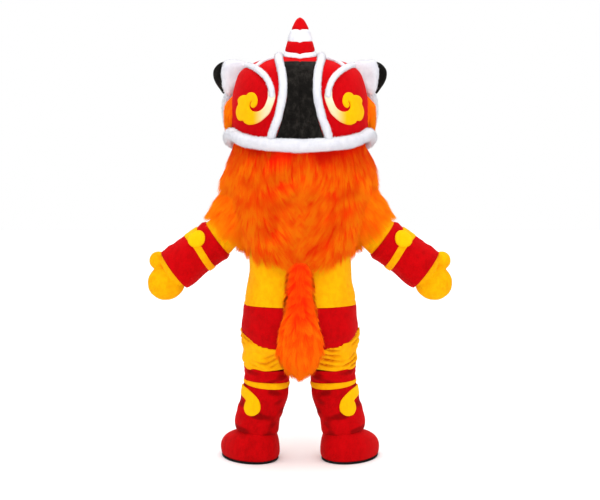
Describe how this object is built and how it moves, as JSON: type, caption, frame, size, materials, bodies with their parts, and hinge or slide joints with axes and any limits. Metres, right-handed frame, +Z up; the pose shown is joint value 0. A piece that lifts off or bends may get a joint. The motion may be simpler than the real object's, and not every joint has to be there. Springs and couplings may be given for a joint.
{
  "type": "lion dance costume",
  "caption": "Lion dance costume in its worn form: padded plush lion head with horn and ears, fur mane and tail, striped plush suit, mittens and boots.",
  "frame": {"origin": "on the costume's middle plane at the height of the wearer's shoulders, where the suit's yoke hangs, 1.3 m above the soles", "axes": "+Z up, the lion faces -Y, +X is its left side"},
  "size_m": [1.3618, 0.6518, 1.977],
  "materials": {
    "red_plush": "short pile plush",
    "yellow_plush": "short pile plush",
    "white_plush": "short pile plush",
    "black_plush": "short pile plush",
    "orange_fur": "long pile fur",
    "eye_white": "smooth",
    "pupil_black": "gloss",
    "black_sole": "matt"
  },
  "bodies": {
    "root": {"rim_roll": "white_plush", "head_shell": "red_plush", "crown_piping_left": "white_plush", "crown_piping_right": "white_plush", "curl_piping_left": "white_plush", "curl_piping_right": "white_plush", "crown_panel": "black_plush", "cloud_left": "yellow_plush", "cloud_right": "yellow_plush", "ear_left": "white_plush", "ear_right": "white_plush", "ear_rim_left": "black_plush", "ear_rim_right": "black_plush", "side_trim_left": "white_plush", "side_trim_right": "white_plush", "side_fur_left": "orange_fur", "side_fur_right": "orange_fur", "eye_left": "eye_white", "eye_right": "eye_white", "pupil_left": "pupil_black", "pupil_right": "pupil_black", "brow_left": "white_plush", "brow_right": "white_plush", "lip_roll": "white_plush", "nose": "yellow_plush", "horn_base": "red_plush", "horn_lower_white": "white_plush", "horn_middle_red": "red_plush", "horn_upper_white": "white_plush", "horn_tip": "red_plush", "jacket": "yellow_plush", "hip_band": "red_plush", "trousers": "yellow_plush", "leg_band_left": "red_plush", "leg_band_right": "red_plush", "thin_band_left": "yellow_plush", "thin_band_right": "yellow_plush", "lower_leg_left": "red_plush", "lower_leg_right": "red_plush", "hook_motif_left": "yellow_plush", "hook_motif_right": "yellow_plush", "cuff_left": "red_plush", "cuff_right": "red_plush", "cuff_band_left": "yellow_plush", "cuff_band_right": "yellow_plush", "mitten_left": "yellow_plush", "mitten_right": "yellow_plush", "boot_left": "red_plush", "boot_right": "red_plush", "sole_left": "black_sole", "sole_right": "black_sole", "mane": "orange_fur", "tail": "orange_fur"}
  },
  "joints": []
}
